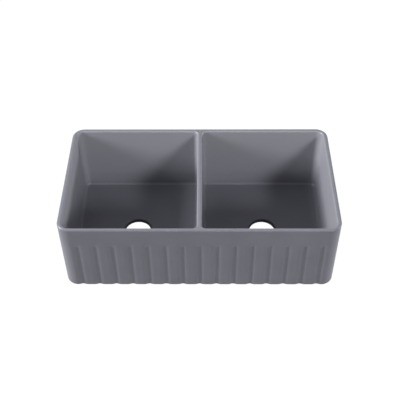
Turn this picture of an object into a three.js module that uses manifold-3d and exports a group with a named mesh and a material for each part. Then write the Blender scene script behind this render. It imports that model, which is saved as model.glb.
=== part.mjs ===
// Farmhouse apron front sink: a glazed fireclay body with two bowls and a fluted apron.
// Millimetres, +Z up, the apron faces -Y. The origin is on the underside, at the middle of the plan.
// The body is one fired casting. It is divided here into its walls, floors and outlets, along
// planes and rounded outlines that lie where each of them ends, a hair's gap apart.

import * as THREE from 'three';
import { mergeVertices } from 'three/addons/utils/BufferGeometryUtils.js';
import Module from 'manifold-3d';

// Outside
const WIDTH = 838;
const DEPTH = 452;
const HEIGHT = 257;
const PLAN_CORNER = 38;        // radius of the four upright outer corners
const RIM_ROUND = 5;           // rounding of both edges of the rim
const BASE_ROUND = 6;          // rounding of the edge that the body stands on

// Walls and bowls
const RIM_THICK = 14;          // back wall, end walls and divider, measured at the rim
const FRONT_THICK = 12;        // apron, measured at the rim
const DRAFT = 0.013;           // the walls thicken downwards by this much per millimetre
const BOWL_CORNER_OUTER = 22;
const BOWL_CORNER_INNER = 14;  // the corners beside the divider are tighter
const FOOT_ROUND = 10;         // cove between walls and floor
const FLOOR_EDGE = 18;         // height of the floor at its edge
const FLOOR_OUTLET = 14.5;     // height of the floor round the outlet

// Outlets
const OUTLET_X = 207;
const OUTLET_Y = -2.5;
const OUTLET_RADIUS = 43;
const OUTLET_LIP = 5;          // rounding of the outlet's upper edge
const SEAT_RADIUS = 65;        // level ring on which a strainer's flange sits

// Flutes of the apron
const FLUTES = 15;
const FLUTE_PITCH = 52.3;
const FLUTE_DEPTH = 3.2;
const FLUTE_HALF_WIDTH = 20;
const FLUTE_TOP = 199;         // height at which a flute has run out
const FLUTE_FADE = 22;         // length over which it runs out

// Divisions between the named sections
const GAP = 0.3;
const WALL_END_Y = DEPTH / 2 - RIM_THICK - DRAFT * HEIGHT - BOWL_CORNER_OUTER;

// Facets
const CORNER_STEPS = 6;
const SIDE_STEPS = 4;
const ROUND_STEPS = 4;
const FLUTE_STEPS = 10;
const OUTLET_STEPS = 40;
const BEYOND = 6;              // how far cutting shapes reach past what they cut

const wasm = await Module();
wasm.setup();

function solid(geometry) {
  const bare = geometry.clone();
  bare.deleteAttribute('normal');
  bare.deleteAttribute('uv');
  const merged = mergeVertices(bare, 1e-4);
  return new wasm.Manifold(new wasm.Mesh({
    numProp: 3,
    vertProperties: new Float32Array(merged.attributes.position.array),
    triVerts: new Uint32Array(merged.index.array),
  }));
}

// A closed skin over rings of equally many points, from the lowest ring to the highest.
// Each ring runs anticlockwise seen from above.
function loft(rings) {
  const count = rings[0].length;
  const points = rings.flat();
  const index = [];
  for (let level = 0; level < rings.length - 1; level++) {
    for (let i = 0; i < count; i++) {
      const a = level * count + i;
      const b = level * count + (i + 1) % count;
      index.push(a, b, b + count, a, b + count, a + count);
    }
  }
  const middle = (ring) => ring.reduce((sum, p) => sum.add(p), new THREE.Vector3()).divideScalar(count);
  const topStart = (rings.length - 1) * count;
  points.push(middle(rings[0]), middle(rings[rings.length - 1]));
  for (let i = 0; i < count; i++) {
    const next = (i + 1) % count;
    index.push(points.length - 2, next, i);
    index.push(points.length - 1, topStart + i, topStart + next);
  }
  const geometry = new THREE.BufferGeometry().setFromPoints(points);
  geometry.setIndex(index);
  return solid(geometry);
}

// A rectangle with rounded corners at height z. The radii are those of the two left corners
// and the two right corners. A positive inset draws the whole outline inwards.
function outline({ left, right, front, back, leftRadius, rightRadius }, inset, z) {
  const corners = [
    { x: right, y: back, sx: -1, sy: -1, radius: rightRadius, turn: 0 },
    { x: left, y: back, sx: 1, sy: -1, radius: leftRadius, turn: 1 },
    { x: left, y: front, sx: 1, sy: 1, radius: leftRadius, turn: 2 },
    { x: right, y: front, sx: -1, sy: 1, radius: rightRadius, turn: 3 },
  ];
  const arcs = corners.map(({ x, y, sx, sy, radius, turn }) => {
    const arc = [];
    for (let step = 0; step <= CORNER_STEPS; step++) {
      const angle = (turn + step / CORNER_STEPS) * Math.PI / 2;
      const reach = radius - inset;
      arc.push(new THREE.Vector3(
        x + sx * radius + reach * Math.cos(angle),
        y + sy * radius + reach * Math.sin(angle),
        z,
      ));
    }
    return arc;
  });
  const ring = [];
  arcs.forEach((arc, i) => {
    const start = arc[CORNER_STEPS];
    const end = arcs[(i + 1) % 4][0];
    ring.push(...arc);
    for (let step = 1; step < SIDE_STEPS; step++) {
      ring.push(start.clone().lerp(end, step / SIDE_STEPS));
    }
  });
  return ring;
}

// Quarter turn from 0 to 90 degrees
const quarter = Array.from({ length: ROUND_STEPS + 1 }, (_, i) => i / ROUND_STEPS * Math.PI / 2);

function outerBlock() {
  const plan = {
    left: -WIDTH / 2, right: WIDTH / 2, front: -DEPTH / 2, back: DEPTH / 2,
    leftRadius: PLAN_CORNER, rightRadius: PLAN_CORNER,
  };
  const base = quarter.map((a) => outline(plan, BASE_ROUND * (1 - Math.sin(a)), BASE_ROUND * (1 - Math.cos(a))));
  const rim = quarter.map((a) => outline(
    plan, RIM_ROUND * (1 - Math.cos(a)), HEIGHT - RIM_ROUND * (1 - Math.sin(a)),
  ));
  return loft([...base, ...rim]);
}

// Outline of a bowl at the rim; side is -1 for the left bowl and 1 for the right one
function bowlPlan(side) {
  const near = RIM_THICK / 2;
  const far = WIDTH / 2 - RIM_THICK;
  return {
    left: side < 0 ? -far : near,
    right: side < 0 ? -near : far,
    front: -DEPTH / 2 + FRONT_THICK,
    back: DEPTH / 2 - RIM_THICK,
    leftRadius: side < 0 ? BOWL_CORNER_OUTER : BOWL_CORNER_INNER,
    rightRadius: side < 0 ? BOWL_CORNER_INNER : BOWL_CORNER_OUTER,
  };
}

const inset = (z) => DRAFT * (HEIGHT - z);
const floorInset = inset(FLOOR_EDGE) + FOOT_ROUND;

function outletRing(ring, side) {
  return ring.map((p) => {
    const angle = Math.atan2(p.y - OUTLET_Y, p.x - side * OUTLET_X);
    return new THREE.Vector3(
      side * OUTLET_X + (SEAT_RADIUS + GAP) * Math.cos(angle),
      OUTLET_Y + (SEAT_RADIUS + GAP) * Math.sin(angle),
      FLOOR_OUTLET,
    );
  });
}

function bowl(side) {
  const plan = bowlPlan(side);
  const cove = quarter.map((a) => outline(
    plan,
    inset(FLOOR_EDGE) + FOOT_ROUND * (1 - Math.sin(a)),
    FLOOR_EDGE + FOOT_ROUND * (1 - Math.cos(a)),
  ));
  const rim = quarter.map((a) => outline(
    plan, RIM_ROUND * (Math.cos(a) - 1), HEIGHT - RIM_ROUND * (1 - Math.sin(a)),
  ));
  const above = outline(plan, -RIM_ROUND, HEIGHT + BEYOND);
  return loft([outletRing(cove[0], side), ...cove, ...rim, above]);
}

// A shallow groove whose sides swell out of the face and back into it
function flute(x) {
  const face = -DEPTH / 2;
  const clear = 0.15;
  const section = (depth, z) => {
    const ring = [];
    for (let i = FLUTE_STEPS; i >= 0; i--) {
      const u = 2 * i / FLUTE_STEPS - 1;
      const swell = Math.cos(Math.PI / 2 * u) ** 4;
      ring.push(new THREE.Vector3(x + u * FLUTE_HALF_WIDTH, face - clear + depth * swell, z));
    }
    ring.push(new THREE.Vector3(x - FLUTE_HALF_WIDTH, face - BEYOND, z));
    ring.push(new THREE.Vector3(x + FLUTE_HALF_WIDTH, face - BEYOND, z));
    return ring;
  };
  const rings = [section(FLUTE_DEPTH, -BEYOND)];
  for (let i = 0; i <= ROUND_STEPS; i++) {
    const t = i / ROUND_STEPS;
    const depth = FLUTE_DEPTH * (1 + Math.cos(Math.PI * t)) / 2;
    rings.push(section(depth, FLUTE_TOP - FLUTE_FADE * (1 - t)));
  }
  return loft(rings);
}

// A round post on an outlet's axis
function post(side, radius, low, high) {
  const geometry = new THREE.CylinderGeometry(radius, radius, high - low, OUTLET_STEPS);
  geometry.rotateX(Math.PI / 2);
  geometry.translate(side * OUTLET_X, OUTLET_Y, (low + high) / 2);
  return solid(geometry);
}

// The outlet's bore with its rounded upper edge
function bore(side) {
  const profile = [new THREE.Vector2(0, -BEYOND), new THREE.Vector2(OUTLET_RADIUS, -BEYOND)];
  for (const a of quarter) {
    profile.push(new THREE.Vector2(
      OUTLET_RADIUS + OUTLET_LIP * (1 - Math.cos(a)),
      FLOOR_OUTLET - OUTLET_LIP * (1 - Math.sin(a)),
    ));
  }
  profile.push(new THREE.Vector2(OUTLET_RADIUS + OUTLET_LIP, FLOOR_OUTLET + BEYOND));
  profile.push(new THREE.Vector2(0, FLOOR_OUTLET + BEYOND));
  const geometry = new THREE.LatheGeometry(profile, OUTLET_STEPS);
  geometry.rotateX(Math.PI / 2);
  geometry.translate(side * OUTLET_X, OUTLET_Y, 0);
  return solid(geometry);
}

function block(x0, x1, y0, y1) {
  const geometry = new THREE.BoxGeometry(x1 - x0, y1 - y0, HEIGHT + 2 * BEYOND);
  geometry.translate((x0 + x1) / 2, (y0 + y1) / 2, HEIGHT / 2);
  return solid(geometry);
}

// The level part of a bowl's floor, from the cove inwards, grown by a margin
function floorRegion(side, margin) {
  const plan = bowlPlan(side);
  return loft([-BEYOND, FLOOR_EDGE + BEYOND].map((z) => outline(plan, floorInset - margin, z)));
}

let casting = outerBlock().subtract(bowl(-1)).subtract(bowl(1));
for (let i = 0; i < FLUTES; i++) {
  casting = casting.subtract(flute((i - (FLUTES - 1) / 2) * FLUTE_PITCH));
}
casting = casting.subtract(bore(-1)).subtract(bore(1));

const farX = WIDTH / 2 + BEYOND;
const farY = DEPTH / 2 + BEYOND;
const sideX = WIDTH / 4;
const walls = casting.subtract(floorRegion(-1, GAP / 2)).subtract(floorRegion(1, GAP / 2));
const wallEnd = WALL_END_Y - GAP;

function floorPlate(side) {
  return casting.intersect(floorRegion(side, -GAP / 2))
    .subtract(post(side, SEAT_RADIUS + GAP / 2, -BEYOND, FLOOR_EDGE + BEYOND));
}

function outlet(side) {
  return casting.intersect(post(side, SEAT_RADIUS - GAP / 2, -BEYOND, FLOOR_EDGE + BEYOND));
}

const glaze = { color: 0x63646b, roughness: 0.28, metalness: 0 };

function section(name, body) {
  const { numProp, vertProperties, triVerts } = body.getMesh();
  if (numProp !== 3) {
    throw new Error(`${name}: positions only are expected`);
  }
  const geometry = new THREE.BufferGeometry();
  geometry.setAttribute('position', new THREE.BufferAttribute(vertProperties, 3));
  geometry.setIndex(new THREE.BufferAttribute(triVerts, 1));
  geometry.computeVertexNormals();
  const mesh = new THREE.Mesh(geometry, new THREE.MeshStandardMaterial(glaze));
  mesh.name = name;
  return mesh;
}

const enclosure = new THREE.Group();
enclosure.add(
  section('apron_front', walls.intersect(block(-farX, farX, -farY, -WALL_END_Y))),
  section('wall_back', walls.intersect(block(-farX, farX, WALL_END_Y, farY))),
  section('wall_left', walls.intersect(block(-farX, -sideX, -wallEnd, wallEnd))),
  section('wall_right', walls.intersect(block(sideX, farX, -wallEnd, wallEnd))),
  section('divider', walls.intersect(block(-sideX, sideX, -wallEnd, wallEnd))),
);

const floors = new THREE.Group();
floors.add(
  section('floor_left', floorPlate(-1)),
  section('floor_right', floorPlate(1)),
  section('outlet_left', outlet(-1)),
  section('outlet_right', outlet(1)),
);

const sink = new THREE.Group();
sink.add(enclosure, floors);

export default sink;
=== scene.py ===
import math

import bmesh
import bpy
from mathutils import Matrix, Vector
from mathutils.geometry import delaunay_2d_cdt


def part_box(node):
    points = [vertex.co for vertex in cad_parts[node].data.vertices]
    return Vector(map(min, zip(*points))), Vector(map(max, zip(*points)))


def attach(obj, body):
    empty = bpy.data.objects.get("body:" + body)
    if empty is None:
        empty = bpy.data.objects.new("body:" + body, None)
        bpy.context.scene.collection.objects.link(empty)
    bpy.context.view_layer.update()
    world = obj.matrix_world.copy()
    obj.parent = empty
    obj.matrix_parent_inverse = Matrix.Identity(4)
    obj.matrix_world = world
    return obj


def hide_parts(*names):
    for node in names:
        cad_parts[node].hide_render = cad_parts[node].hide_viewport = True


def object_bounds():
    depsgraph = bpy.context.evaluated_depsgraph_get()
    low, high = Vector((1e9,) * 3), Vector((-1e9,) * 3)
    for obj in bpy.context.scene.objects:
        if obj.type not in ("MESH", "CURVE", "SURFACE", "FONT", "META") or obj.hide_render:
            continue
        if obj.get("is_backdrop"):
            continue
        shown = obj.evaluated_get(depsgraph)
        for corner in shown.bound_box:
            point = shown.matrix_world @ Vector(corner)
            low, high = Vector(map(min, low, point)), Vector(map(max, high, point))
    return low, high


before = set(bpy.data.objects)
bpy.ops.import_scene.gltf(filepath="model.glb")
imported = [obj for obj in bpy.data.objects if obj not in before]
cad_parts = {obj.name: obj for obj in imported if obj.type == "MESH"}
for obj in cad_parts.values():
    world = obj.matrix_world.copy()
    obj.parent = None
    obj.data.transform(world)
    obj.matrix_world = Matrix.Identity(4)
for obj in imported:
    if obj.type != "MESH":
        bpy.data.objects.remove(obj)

cad_low, cad_high = (tuple(corner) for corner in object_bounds())

# ---------------------------------------------------------------------------------------------
# The outlets: the two thick rings of fireclay in the bowl floors, cast with the body. Each has
# a level seat for a strainer, a rounded lip, and a bore that is glazed down to its raw foot.

outlet_low, outlet_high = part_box("outlet_right")
outlet_x = (outlet_low[0] + outlet_high[0]) / 2
outlet_y = (outlet_low[1] + outlet_high[1]) / 2
seat_height = outlet_high[2]
seat_radius = 0.065
bore_radius = 0.043
lip_round = 0.005
foot_round = 0.0012
foot_steps = 3

# A strip this wide beside each rounding keeps the flat next to it flat in the light.
hair = 0.0003

# The glaze's own grey, with a paler tone for painted light and a deeper one for painted shade.
glaze_pale = (0.167, 0.168, 0.186, 1)
glaze_grey = (0.137, 0.140, 0.163, 1)
glaze_deep = (0.070, 0.070, 0.086, 1)
iron_speck = (0.06, 0.06, 0.07, 1)
raw_buff = (0.62, 0.56, 0.47, 1)
raw_brown = (0.48, 0.42, 0.34, 1)

# Painted light and shade at each corner of a mesh: 1 is pale as if well lit, 0 is unpainted, -1 is
# deep as painted shade.
unpainted_tone = 0.0
deepest_painted_shade = -1.0


def feed(tree, socket, source):
    """Give a socket another node's output, or a value."""
    if isinstance(source, bpy.types.NodeSocket):
        tree.links.new(source, socket)
    else:
        socket.default_value = source


def node(tree, kind, place, **settings):
    """A shader node at this place in its tree. settings names its properties and inputs."""
    made = tree.nodes.new(kind)
    made.location = place
    for name, value in settings.items():
        if name in made.inputs:
            feed(tree, made.inputs[name], value)
        else:
            setattr(made, name, value)
    return made


def maths(tree, place, operation, *terms):
    """The output of a maths node over these terms."""
    made = node(tree, "ShaderNodeMath", place, operation=operation)
    for socket, term in zip(made.inputs, terms):
        feed(tree, socket, term)
    return made.outputs["Value"]


def rescaled(tree, place, source, given, wanted, **settings):
    """The output of a node that takes source from the given range over to the wanted one."""
    made = node(tree, "ShaderNodeMapRange", place, Value=source, **settings)
    for name, value in zip(("From Min", "From Max", "To Min", "To Max"), (*given, *wanted)):
        made.inputs[name].default_value = value
    return made.outputs["Result"]


def mixed(tree, place, kind, share, first, second):
    """The output of a mix node: first where share is 0, second where it is 1."""
    made = node(tree, "ShaderNodeMix", place, data_type=kind)
    for name, source in (("Factor", share), ("A", first), ("B", second)):
        feed(tree, made.inputs[name], source)
    return made.outputs["Result"]


def glaze_flow_group():
    """Uneven flow of the glaze: a slow wave, an orange peel and rare pin-sized specks."""
    speck_edge, speck_heart = 0.16, 0.08
    clear_share = 0.955
    tree = bpy.data.node_groups.new("glaze flow", "ShaderNodeTree")
    for name in ("Wave Size", "Peel Size", "Speck Size"):
        tree.interface.new_socket(name, in_out="INPUT", socket_type="NodeSocketFloat")
    for name in ("Wave", "Peel", "Specks"):
        tree.interface.new_socket(name, in_out="OUTPUT", socket_type="NodeSocketFloat")
    sizes = node(tree, "NodeGroupInput", (-900, 0))
    place = node(tree, "ShaderNodeTexCoord", (-900, -300)).outputs["Object"]
    wave = node(
        tree, "ShaderNodeTexNoise", (-500, 300),
        Vector=place, Scale=sizes.outputs["Wave Size"], Detail=2.0, Roughness=0.45,
    )
    peel = node(
        tree, "ShaderNodeTexNoise", (-500, 0),
        Vector=place, Scale=sizes.outputs["Peel Size"], Detail=1.5, Roughness=0.5,
    )
    cells = node(
        tree, "ShaderNodeTexVoronoi", (-500, -300),
        Vector=place, Scale=sizes.outputs["Speck Size"], Randomness=1.0,
    )
    small = rescaled(
        tree, (-200, -300), cells.outputs["Distance"], (speck_edge, speck_heart), (0, 1),
        interpolation_type="SMOOTHSTEP",
    )
    rare = maths(tree, (-200, -550), "GREATER_THAN", cells.outputs["Color"], clear_share)
    specks = maths(tree, (100, -300), "MULTIPLY", small, rare)
    node(
        tree, "NodeGroupOutput", (500, 0),
        Wave=wave.outputs["Fac"], Peel=peel.outputs["Fac"], Specks=specks,
    )
    return tree


def glazed_fireclay():
    """Satin grey glaze over buff fireclay, wiped off along the foot. The glaze carries painted
    light and shade from the mesh: paler up the bowls, deeper outside, in the flutes and down the
    outlets.
    """
    ripple = 0.12
    speck_strength = 0.35
    wiped_from, wiped_to, wiped_wander = 0.0018, 0.0008, 0.0012
    satin_roughness = (0.30, 0.38)
    clay_roughness = 0.92
    wave_relief, grit_relief = 8.0, 18.0
    peel_relief = 0.000012

    finish = bpy.data.materials.new("glazed fireclay")
    finish.use_nodes = True
    tree = finish.node_tree
    shader = tree.nodes["Principled BSDF"]
    shader.inputs["IOR"].default_value = 1.4
    shader.inputs["Specular IOR Level"].default_value = 0.4

    flow = node(tree, "ShaderNodeGroup", (-1300, 200), node_tree=glaze_flow_group())
    for name, size in (("Wave Size", 12.0), ("Peel Size", 260.0), ("Speck Size", 420.0)):
        flow.inputs[name].default_value = size
    wave = flow.outputs["Wave"]
    place = node(tree, "ShaderNodeTexCoord", (-1300, -400)).outputs["Object"]

    # The mesh's painted light and shade, with the glaze's own slow ripple added to it.
    painted_light_node = node(tree, "ShaderNodeAttribute", (-1300, -100), attribute_name="painted_light_tone")
    unsettled = rescaled(tree, (-1000, 250), wave, (0, 1), (-ripple, ripple))
    ripple_and_painted_light = maths(tree, (-800, 100), "ADD", unsettled, painted_light_node.outputs["Fac"])
    tone_with_painted_light = rescaled(tree, (-780, 300), ripple_and_painted_light, (-1, 1), (0, 1))
    tone = node(tree, "ShaderNodeValToRGB", (-600, 200), Fac=tone_with_painted_light)
    for stop, colour in zip(tone.color_ramp.elements, (glaze_deep, glaze_pale)):
        stop.color = colour
    tone.color_ramp.elements.new(0.5).color = glaze_grey
    fleck = maths(tree, (-500, 0), "MULTIPLY", flow.outputs["Specks"], speck_strength)
    glaze = mixed(tree, (-300, 200), "RGBA", fleck, tone.outputs["Color"], iron_speck)

    height = node(tree, "ShaderNodeSeparateXYZ", (-1100, -400), Vector=place).outputs["Z"]
    wander = node(tree, "ShaderNodeTexNoise", (-1250, -650), Vector=place, Scale=90.0, Detail=3.0)
    line = maths(
        tree, (-1000, -550), "MULTIPLY_ADD", wander.outputs["Fac"], wiped_wander, height
    )
    bare = rescaled(tree, (-800, -400), line, (wiped_from, wiped_to), (0, 1))
    grit = node(
        tree, "ShaderNodeTexNoise", (-800, -750), Vector=place, Scale=900.0, Detail=6.0
    ).outputs["Fac"]
    clay = mixed(tree, (-500, -600), "RGBA", grit, raw_buff, raw_brown)
    feed(tree, shader.inputs["Base Color"], mixed(tree, (-100, 200), "RGBA", bare, glaze, clay))

    satin = rescaled(tree, (-600, -150), wave, (0, 1), satin_roughness)
    dulled = mixed(tree, (-100, -100), "FLOAT", bare, satin, clay_roughness)
    feed(tree, shader.inputs["Roughness"], dulled)

    smooth_skin = maths(
        tree, (-300, -350), "MULTIPLY_ADD", wave, wave_relief, flow.outputs["Peel"]
    )
    rough_skin = maths(tree, (-300, -600), "MULTIPLY", grit, grit_relief)
    skin = mixed(tree, (-100, -350), "FLOAT", bare, smooth_skin, rough_skin)
    relief = node(
        tree, "ShaderNodeBump", (100, -350), Strength=1.0, Distance=peel_relief, Height=skin
    )
    feed(tree, shader.inputs["Normal"], relief.outputs["Normal"])
    return finish


fireclay = glazed_fireclay()


def quarter_turn(steps=8):
    """The angles of a rounding that is drawn in this many steps."""
    return [i / steps * math.pi / 2 for i in range(steps + 1)]


def circle(centre_x, radius, z, angles):
    """Places on a level circle round one outlet's middle."""
    return [(centre_x + radius * math.cos(a), outlet_y + radius * math.sin(a), z) for a in angles]


def add_ring(bm, places, painted_tone):
    """Corners at these places. The last argument gives the painted light or shade there, by a
    number or by the place.
    """
    layer = bm.verts.layers.float.get("painted_light_tone") or bm.verts.layers.float.new("painted_light_tone")
    corners = []
    for place in places:
        corner = bm.verts.new(place)
        corner[layer] = painted_tone(place) if callable(painted_tone) else painted_tone
        corners.append(corner)
    return corners


def ring_of_faces(bm, lower, upper):
    """Quads between two rings of equally many corners, facing out when they run anticlockwise."""
    count = len(lower)
    for i in range(count):
        j = (i + 1) % count
        bm.faces.new((lower[i], lower[j], upper[j], upper[i]))


def finished(name, bm):
    """The piece's object, smooth but for its true arrises, in the glazed finish."""
    arris_angle = math.radians(40)
    bmesh.ops.recalc_face_normals(bm, faces=bm.faces)
    mesh = bpy.data.meshes.new(name)
    bm.to_mesh(mesh)
    bm.free()
    mesh.shade_smooth()
    mesh.set_sharp_from_angle(angle=arris_angle)
    mesh.materials.append(fireclay)
    piece = bpy.data.objects.new(name, mesh)
    bpy.context.collection.objects.link(piece)
    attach(piece, "root")
    return piece


def outlet_section():
    """The ring's outline: radius, height and painted shade, from the seat over the lip to the foot.
    """
    section = [
        (seat_radius, seat_height, unpainted_tone),
        (bore_radius + lip_round + hair, seat_height, unpainted_tone),
    ]
    for turn in quarter_turn():
        radius = bore_radius + lip_round * (1 - math.sin(turn))
        z = seat_height - lip_round * (1 - math.cos(turn))
        # Painted shade: the lip gets deeper as it turns down into the bore, and the bore is
        # deepest.
        section.append((radius, z, deepest_painted_shade * math.sin(turn)))
    section.append((bore_radius, seat_height - lip_round - hair, deepest_painted_shade))
    section.append((bore_radius, foot_round + hair, deepest_painted_shade))
    for turn in quarter_turn(foot_steps):
        radius = bore_radius + foot_round * (1 - math.cos(turn))
        section.append((radius, foot_round * (1 - math.sin(turn)), unpainted_tone))
    section.append((bore_radius + foot_round + hair, 0, unpainted_tone))
    section.append((seat_radius, 0, unpainted_tone))
    return section


outlet_steps = 96
outlet_angles = [i / outlet_steps * math.tau for i in range(outlet_steps)]
for side, name in ((-1, "outlet_left"), (1, "outlet_right")):
    bm = bmesh.new()
    rings = [
        add_ring(bm, circle(side * outlet_x, radius, z, outlet_angles), painted_tone)
        for radius, z, painted_tone in outlet_section()
    ]
    for lower, upper in zip(rings, rings[1:] + rings[:1]):
        ring_of_faces(bm, lower, upper)
    outlet = finished(name + "_ring", bm)
    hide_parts(name)

# ---------------------------------------------------------------------------------------------
# The bowl floors: two slabs, level underneath, that fall from the cove of the walls to the
# outlet ring so that they drain. Glazed on top, raw on the face that the sink stands on.

width = cad_high[0] - cad_low[0]
depth = cad_high[1] - cad_low[1]
rim_height = cad_high[2]
rim_thick = 0.014
front_thick = 0.012
draft = 0.013
bowl_corner_outer = 0.022
bowl_corner_inner = 0.014
cove = 0.010
floor_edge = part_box("floor_right")[1][2]


def draft_inset(z):
    """How far a bowl's wall stands in at this height from where it meets the rim."""
    return draft * (rim_height - z)


def bowl_plan(side):
    """A bowl's outline at the rim: left, right, front, back, and the radii at its two ends."""
    near, far = side * rim_thick / 2, side * (width / 2 - rim_thick)
    radii = {near: bowl_corner_inner, far: bowl_corner_outer}
    left, right = sorted((near, far))
    return left, right, -depth / 2 + front_thick, depth / 2 - rim_thick, radii[left], radii[right]


def rounded_outline(plan, inset, z, corner_steps, across, along):
    """Anticlockwise ring round a rectangle with rounded corners, drawn in by inset."""
    left, right, front, back, left_radius, right_radius = plan
    corners = (
        (right - right_radius, back - right_radius, right_radius),
        (left + left_radius, back - left_radius, left_radius),
        (left + left_radius, front + left_radius, left_radius),
        (right - right_radius, front + right_radius, right_radius),
    )
    arcs = []
    for turn, (x, y, radius) in enumerate(corners):
        reach = radius - inset
        angles = [(turn + i / corner_steps) * math.pi / 2 for i in range(corner_steps + 1)]
        arcs.append([Vector((x + reach * math.cos(a), y + reach * math.sin(a), z)) for a in angles])
    ring = []
    for i, arc in enumerate(arcs):
        ring += arc
        start, end = arc[-1], arcs[(i + 1) % 4][0]
        steps = (across, along)[i % 2]
        ring += [start.lerp(end, j / steps) for j in range(1, steps)]
    return ring


def bowl_outline(side, inset, z):
    """A bowl's outline at this height, drawn in from the one at the rim."""
    return rounded_outline(bowl_plan(side), inset, z, corner_steps=10, across=24, along=24)


foot_inset = draft_inset(floor_edge) + cove
fall_steps = 16
for side, name in ((-1, "floor_left"), (1, "floor_right")):
    edge = bowl_outline(side, foot_inset, floor_edge)
    angles = [math.atan2(p.y - outlet_y, p.x - side * outlet_x) for p in edge]
    seat = [Vector(p) for p in circle(side * outlet_x, seat_radius, seat_height, angles)]
    bm = bmesh.new()
    rings = []
    for i in range(fall_steps + 1):
        t = i / fall_steps
        fall = floor_edge + (seat_height - floor_edge) * (3 * t * t - 2 * t ** 3)
        places = [(a.lerp(b, t).x, a.lerp(b, t).y, fall) for a, b in zip(edge, seat)]
        rings.append(add_ring(bm, places, unpainted_tone))
    for outline in (seat, edge):
        rings.append(add_ring(bm, [(p.x, p.y, 0) for p in outline], unpainted_tone))
    for lower, upper in zip(rings, rings[1:] + rings[:1]):
        ring_of_faces(bm, lower, upper)
    slab = finished(name + "_slab", bm)
    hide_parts(name)

# ---------------------------------------------------------------------------------------------
# The walls: one slip-cast shell with a rolled rim, drafted bowl faces, a cove at their foot and
# fifteen shallow flutes moulded in the apron. It is cut, as the frame is, into the apron, the
# back wall, the two end walls and the divider, with no gap, so that the glaze runs on.

plan_corner = 0.038
rim_round = 0.005
below_rim = rim_height - rim_round - hair
base_round = 0.006
flutes = 15
flute_pitch = 0.0523
flute_depth = 0.0032
flute_half_width = 0.020
flute_top = 0.199
flute_fade = 0.022

# Painted light and shade: the outside is painted deeper than the bowls, the rim between them, the
# bowl faces paler towards the rim, and each flute's bottom deeper still.
outside_painted_shade = -0.9
rim_painted_shade = -0.3
bowl_painted_light = 0.9
flute_painted_shade = 0.12

# Heights of the rings that carry the painted light and shade over the straight faces of the apron
# and the bowls.
apron_levels = (0.05, 0.10, 0.15)
band_level = 0.225
bowl_levels = (0.06, 0.12, 0.18)
fade_steps = 12


def flute_sink(x, y, z):
    """How far the flutes set this place on the outside back. Only the apron has them."""
    on_apron = y < -depth / 2 + plan_corner / 2
    nearest = min(max(round(x / flute_pitch), -(flutes // 2)), flutes // 2)
    u = (x - nearest * flute_pitch) / flute_half_width
    if not on_apron or abs(u) >= 1 or z >= flute_top:
        return 0.0
    swell = math.cos(math.pi / 2 * u) ** 4
    t = max(0.0, (z - flute_top + flute_fade) / flute_fade)
    return flute_depth * swell * (1 + math.cos(math.pi * t)) / 2


def painted_shade_outside(z):
    """Painted shade outside: deeper than the bowls, and a little deeper still in the bottom of a
    flute.
    """
    def painted_tone(place):
        return outside_painted_shade - flute_painted_shade * flute_sink(place.x, place.y, z) / flute_depth
    return painted_tone


def outer_ring(inset, z, painted_tone):
    """A ring of the shell's outside, set back where the flutes are."""
    plan = (-width / 2, width / 2, -depth / 2, depth / 2, plan_corner, plan_corner)
    outline = rounded_outline(plan, inset, z, corner_steps=16, across=254, along=8)
    places = [Vector((p.x, p.y + flute_sink(p.x, p.y, z), z)) for p in outline]
    return add_ring(shell, places, painted_tone)


def outer_rings():
    """The outside of the shell, from its underside over the foot and the apron to the rim."""
    rings = [outer_ring(base_round + hair, 0, outside_painted_shade)]
    for turn in quarter_turn():
        z = base_round * (1 - math.cos(turn))
        rings.append(outer_ring(base_round * (1 - math.sin(turn)), z, outside_painted_shade))
    fade_levels = [flute_top - flute_fade * (1 - i / fade_steps) for i in range(fade_steps + 1)]
    for z in (base_round + hair, *apron_levels, *fade_levels, band_level, below_rim):
        rings.append(outer_ring(0, z, painted_shade_outside(z)))
    for turn in quarter_turn():
        z = rim_height - rim_round * (1 - math.sin(turn))
        # Painted shade grades over the outer rounding from the outside's tone to the rim's.
        painted_tone = rim_painted_shade + (outside_painted_shade - rim_painted_shade) * math.cos(turn)
        rings.append(outer_ring(rim_round * (1 - math.cos(turn)), z, painted_tone))
    rings.append(outer_ring(rim_round + hair, rim_height, rim_painted_shade))
    for lower, upper in zip(rings, rings[1:]):
        ring_of_faces(shell, lower, upper)
    return rings


def bowl_rings(side):
    """The inside of one bowl, from the shell's underside over the cove and the walls to the rim."""
    def ring(inset, z, painted_tone):
        return add_ring(shell, bowl_outline(side, inset, z), painted_tone)

    rings = [ring(foot_inset, 0, unpainted_tone), ring(foot_inset, floor_edge, unpainted_tone)]
    for turn in quarter_turn()[1:]:
        inset = draft_inset(floor_edge) + cove * (1 - math.sin(turn))
        rings.append(ring(inset, floor_edge + cove * (1 - math.cos(turn)), unpainted_tone))
    # Painted light: the bowl faces are paler towards the rim and deeper towards the floor.
    for z in (floor_edge + cove + hair, *bowl_levels):
        rings.append(ring(draft_inset(z), z, bowl_painted_light * z / rim_height))
    rings.append(ring(0, below_rim, bowl_painted_light * below_rim / rim_height))
    for turn in quarter_turn():
        z = rim_height - rim_round * (1 - math.sin(turn))
        # Painted tone grades over the inner rounding from the bowl's to the rim's.
        painted_tone = bowl_painted_light + (rim_painted_shade - bowl_painted_light) * math.sin(turn)
        rings.append(ring(rim_round * (math.cos(turn) - 1), z, painted_tone))
    rings.append(ring(-rim_round - hair, rim_height, rim_painted_shade))
    for lower, upper in zip(rings, rings[1:]):
        ring_of_faces(shell, upper, lower)
    return rings


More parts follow.
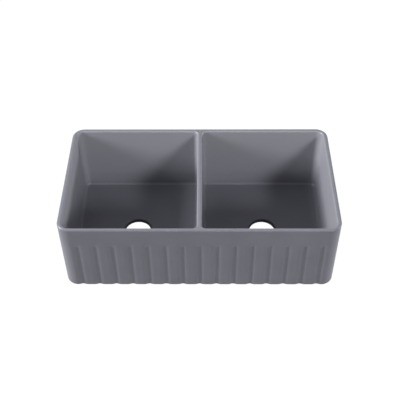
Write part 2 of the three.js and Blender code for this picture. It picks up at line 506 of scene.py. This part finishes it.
def close_level(outside, holes):
    """The flat face between the outer ring and the two bowls' rings on one level."""
    inside_outline, merge_distance = 1, 1e-7
    corners, sides = [], []
    for ring in (outside, *holes):
        first = len(corners)
        sides += [(first + i, first + (i + 1) % len(ring)) for i in range(len(ring))]
        corners += ring
    flat = [corner.co.xy for corner in corners]
    _, _, triangles, origin, _, _ = delaunay_2d_cdt(flat, sides, [], inside_outline, merge_distance)
    inside_bowls = [set(ring) for ring in holes]
    for triangle in triangles:
        picked = [corners[origin[i][0]] for i in triangle]
        if not any(all(corner in bowl for corner in picked) for bowl in inside_bowls):
            shell.faces.new(picked)


shell = bmesh.new()
outer = outer_rings()
bowls = [bowl_rings(side) for side in (-1, 1)]
close_level(outer[0], [rings[0] for rings in bowls])
close_level(outer[-1], [rings[-1] for rings in bowls])
bmesh.ops.recalc_face_normals(shell, faces=shell.faces)


def cut_from_shell(name, cuts, belongs=None):
    """The part of the shell on the kept side of each cut, closed there. 1 keeps what is behind a
    cut and -1 what is before it. belongs picks one of the parts by where it stands along x."""
    part = shell.copy()
    for y, kept in cuts:
        cut = bmesh.ops.bisect_plane(
            part,
            geom=part.verts[:] + part.edges[:] + part.faces[:],
            plane_co=(0, y, 0),
            plane_no=(0, -kept, 0),
            clear_outer=True,
        )
        open_edges = [e for e in cut["geom_cut"] if isinstance(e, bmesh.types.BMEdge)]
        bmesh.ops.holes_fill(part, edges=open_edges, sides=0)
    if belongs:
        strangers = [v for v in part.verts if not belongs(v.co.x)]
        bmesh.ops.delete(part, geom=strangers, context="VERTS")
    return finished(name, part)


# The end walls and the divider run straight between these two cuts.
wall_end = depth / 2 - rim_thick - draft * rim_height - bowl_corner_outer
between = ((-wall_end, 1), (wall_end, -1))
quarter_width = width / 4

apron = cut_from_shell("apron_casting", [(-wall_end, -1)])
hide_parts("apron_front")

back_wall = cut_from_shell("back_wall_casting", [(wall_end, 1)])
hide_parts("wall_back")

left_wall = cut_from_shell("left_wall_casting", between, lambda x: x < -quarter_width)
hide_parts("wall_left")

right_wall = cut_from_shell("right_wall_casting", between, lambda x: x > quarter_width)
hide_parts("wall_right")

divider = cut_from_shell("divider_casting", between, lambda x: abs(x) < quarter_width)
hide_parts("divider")
shell.free()

# ---------------------------------------------------------------------------------------------
# The board: a matt white sheet that the sink stands on. The camera and the glaze see nearly
# plain white there, and the rest of its look takes the sink's shadow.

board_size = 6.0
board_drop = 0.0004
plain_share = 0.96

# How white the board is for the light that it throws back at the sink.
bounced_white = 0.4

# The board counts as under the sink from the first to the second of these shares of the way out
# from the sink's middle to its outside.
under_edge, under_heart = 0.96, 0.84

half = board_size / 2
board_corners = [(-half, -half, 0), (half, -half, 0), (half, half, 0), (-half, half, 0)]
board_mesh = bpy.data.meshes.new("white board")
board_mesh.from_pydata(board_corners, [], [(0, 1, 2, 3)])
board = bpy.data.objects.new("white_board", board_mesh)
board.location.z = -board_drop
bpy.context.collection.objects.link(board)
board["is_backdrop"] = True


def blended_surface(tree, share, first, second, output):
    """Two shaders on the tree's output node: the first where share is 0, the second where 1."""
    blend = node(tree, "ShaderNodeMixShader", (200, 0), Fac=share)
    tree.links.new(first, blend.inputs[1])
    tree.links.new(second, blend.inputs[2])
    tree.links.new(blend.outputs["Shader"], tree.nodes[output].inputs["Surface"])


def share_of_half(tree, row, along, half_length):
    """How far out a place lies: 0 in the sink's middle, 1 at its outside."""
    distance = maths(tree, (-1100, row), "ABSOLUTE", along)
    return maths(tree, (-950, row), "DIVIDE", distance, half_length)


white = bpy.data.materials.new("white board")
white.use_nodes = True
tree = white.node_tree
matt = tree.nodes["Principled BSDF"]
matt.inputs["Roughness"].default_value = 0.9
matt.inputs["Specular IOR Level"].default_value = 0.0
glow = node(tree, "ShaderNodeEmission", (0, -200), Strength=1.0)

# Seen through the outlets the board is plain white. It is dark where the glaze mirrors it there.
place = node(tree, "ShaderNodeTexCoord", (-1400, -200)).outputs["Object"]
apart = node(tree, "ShaderNodeSeparateXYZ", (-1200, -200), Vector=place)
reach = maths(
    tree, (-800, -200), "MAXIMUM",
    share_of_half(tree, -200, apart.outputs["X"], width / 2),
    share_of_half(tree, -400, apart.outputs["Y"], depth / 2),
)
under = rescaled(tree, (-600, -200), reach, (under_edge, under_heart), (0, 1))

ray = node(tree, "ShaderNodeLightPath", (-900, 400))
to_eye = rescaled(tree, (-400, 100), under, (0, 1), (plain_share, 1))
to_glaze = rescaled(tree, (-400, -200), under, (0, 1), (plain_share, 0))
mirrored = maths(
    tree, (-600, 300), "MAXIMUM", ray.outputs["Is Glossy Ray"], ray.outputs["Is Transmission Ray"]
)
eye_part = maths(tree, (-150, 300), "MULTIPLY", ray.outputs["Is Camera Ray"], to_eye)
glaze_part = maths(tree, (-150, 100), "MULTIPLY", mirrored, to_glaze)
share = maths(tree, (0, 300), "ADD", eye_part, glaze_part)
shade = rescaled(tree, (-400, 500), ray.outputs["Is Camera Ray"], (0, 1), (bounced_white, 1))
feed(tree, matt.inputs["Base Color"], shade)
blended_surface(tree, share, matt.outputs["BSDF"], glow.outputs["Emission"], "Material Output")
board_mesh.materials.append(white)

# ---------------------------------------------------------------------------------------------
# The room: white surroundings with a faint light of their own, and softboxes on stands well away
# from the sink. The strongest stands on the left, with two weak ones beside it, and the others
# at the right, the front and the rear.

ambient_strength = 0.34
mirrored_white = 0.8

world = bpy.data.worlds.new("white surroundings")
world.use_nodes = True
bpy.context.scene.world = world
tree = world.node_tree
ambient = tree.nodes["Background"]
ambient.inputs["Color"].default_value = (1, 1, 1, 1)
ambient.inputs["Strength"].default_value = ambient_strength
ray = node(tree, "ShaderNodeLightPath", (-600, 300))
brightness = rescaled(
    tree, (-200, -300), ray.outputs["Is Camera Ray"], (0, 1), (mirrored_white, 1)
)
plain_white = node(
    tree, "ShaderNodeBackground", (0, -200), Color=(1, 1, 1, 1), Strength=brightness
)
direct = maths(
    tree, (-400, 300), "MAXIMUM", ray.outputs["Is Camera Ray"], ray.outputs["Is Glossy Ray"]
)
seen = maths(tree, (-200, 300), "MAXIMUM", direct, ray.outputs["Is Transmission Ray"])
blended_surface(
    tree, seen, ambient.outputs["Background"], plain_white.outputs["Background"], "World Output"
)

lamp_distance = 6.0
lit_middle = Vector((0, 0, 0.15))


def soft_lamp(name, around, up, size, power):
    """A rectangular softbox that faces the sink. around runs from the front towards the right."""
    turn, rise = math.radians(around), math.radians(up)
    level = math.cos(rise)
    towards = Vector((math.sin(turn) * level, -math.cos(turn) * level, math.sin(rise)))
    lamp = bpy.data.lights.new(name, "AREA")
    lamp.shape = "RECTANGLE"
    lamp.size, lamp.size_y = size
    lamp.energy = power
    holder = bpy.data.objects.new(name, lamp)
    holder.location = lit_middle + towards * lamp_distance
    holder.rotation_euler = (-towards).to_track_quat("-Z", "Y").to_euler()
    bpy.context.collection.objects.link(holder)


soft_lamp("lamp_left", -84, 25.5, (0.3, 1.8), 850)
soft_lamp("lamp_left_high", -82, 34, (0.3, 1.5), 28)
soft_lamp("lamp_left_low", -88, 18, (0.3, 1.7), 80)
soft_lamp("lamp_right_low", 99, 10.5, (0.3, 0.6), 260)
soft_lamp("lamp_right", 79, 31, (0.3, 0.45), 58)
soft_lamp("lamp_front", 0, 25.5, (0.3, 0.7), 66)
soft_lamp("lamp_front_right", 31, 29, (0.75, 1.3), 275)
soft_lamp("lamp_rear", 180, 8, (1.2, 0.6), 30)

# ---------------------------------------------------------------------------------------------
# The camera: at the photograph's place, in front of the sink and above it, looking down at it,
# turned and rolled by less than a degree.

camera_place = (0.0221, -1.6607, 1.8798)
camera_dip = math.radians(46.15)
camera_turn = math.radians(0.73)
camera_roll = math.radians(-0.54)

camera_data = bpy.data.cameras.new("camera")
camera_data.sensor_width = 36.0
camera_data.lens = 67.2
camera = bpy.data.objects.new("camera", camera_data)
bpy.context.collection.objects.link(camera)
turned = (
    Matrix.Rotation(camera_turn, 4, "Z")
    @ Matrix.Rotation(math.pi / 2 - camera_dip, 4, "X")
    @ Matrix.Rotation(camera_roll, 4, "Z")
)
camera.matrix_world = Matrix.Translation(camera_place) @ turned
bpy.context.scene.camera = camera
bpy.context.scene.view_settings.view_transform = "Standard"

bpy.context.view_layer.update()
low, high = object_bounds()
{"cad": [list(cad_low), list(cad_high)], "visual": [list(low), list(high)]}
